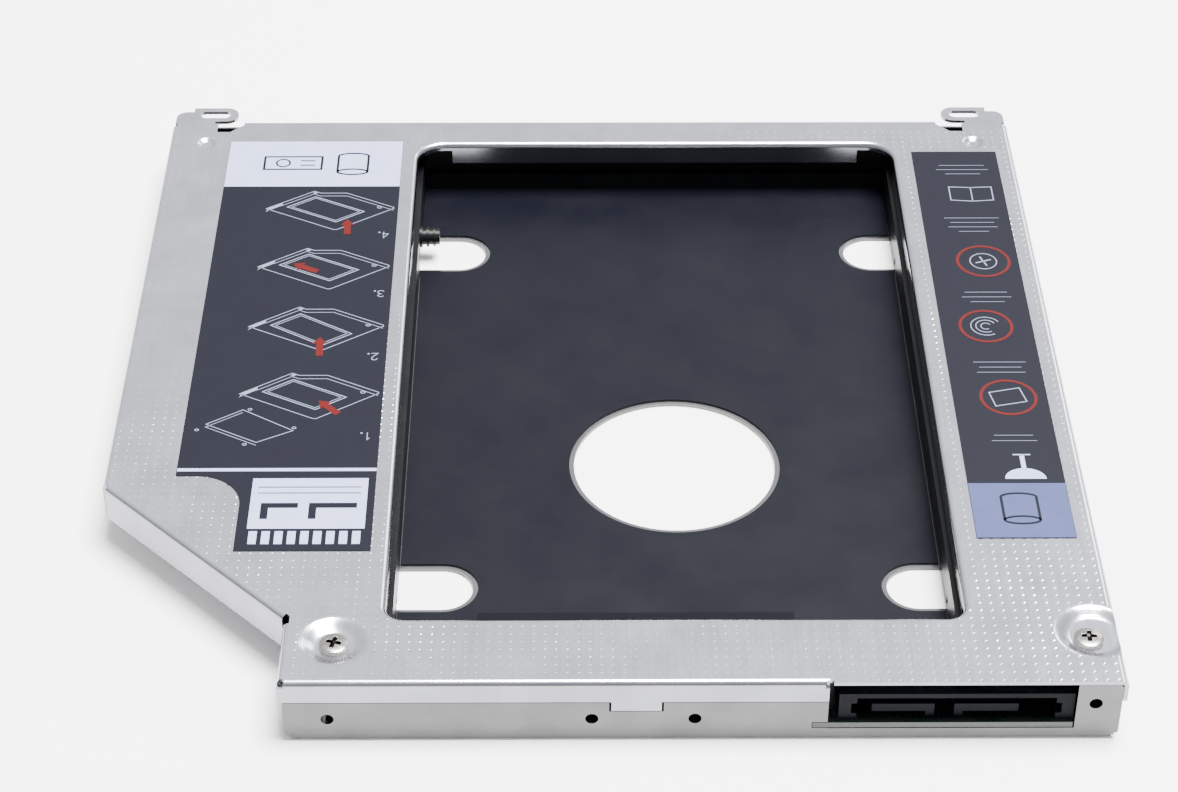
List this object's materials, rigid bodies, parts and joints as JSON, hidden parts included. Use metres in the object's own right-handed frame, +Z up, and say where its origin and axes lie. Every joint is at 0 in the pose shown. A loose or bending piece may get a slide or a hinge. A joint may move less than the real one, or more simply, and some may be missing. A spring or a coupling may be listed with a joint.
{
  "type": "laptop drive caddy",
  "caption": "Slim folded sheet-metal caddy that carries a small laptop drive in an optical drive's bay, with a drop-in window, side rails, a stop bar and a plug board.",
  "frame": {"origin": "middle of the case's underside, on the plane it lies on", "axes": "+X to the right seen from the connector wall, +Y from the connector wall to the bezel ears at the rear, +Z up through the window"},
  "size_m": [0.128, 0.129, 0.0096],
  "materials": {
    "cover_sheet": "embossed satin sheet",
    "pan_sheet": "plain satin sheet",
    "dark_film": "satin insulating film",
    "rail_plastic": "moulded, fine matt grain",
    "label_film": "printed satin label film",
    "screw_steel": "bright nickel plate",
    "post_steel": "plated turned steel",
    "green_board": "solder resist over glass cloth",
    "capacitor_ceramic": "fired ceramic",
    "plug_plastic": "moulded, smooth",
    "contact_gold": "thin gold flash"
  },
  "bodies": {
    "root": {"top_cover": "cover_sheet", "bottom_pan": "pan_sheet", "insulating_film": "dark_film", "left_rail": "rail_plastic", "right_rail": "rail_plastic", "stop_bar": "rail_plastic", "left_label": "label_film", "right_label": "label_film", "cover_screw_left": "screw_steel", "cover_screw_right": "screw_steel", "board_screws": "screw_steel", "screw_post_left": "post_steel", "screw_post_right": "post_steel", "board_standoffs": "post_steel", "connector_board": "green_board", "board_capacitors": "capacitor_ceramic", "bay_plug_housing": "plug_plastic", "drive_socket_housing": "plug_plastic", "bay_signal_contacts": "contact_gold", "bay_power_contacts": "contact_gold", "drive_signal_contacts": "contact_gold", "drive_power_contacts": "contact_gold"}
  },
  "joints": []
}
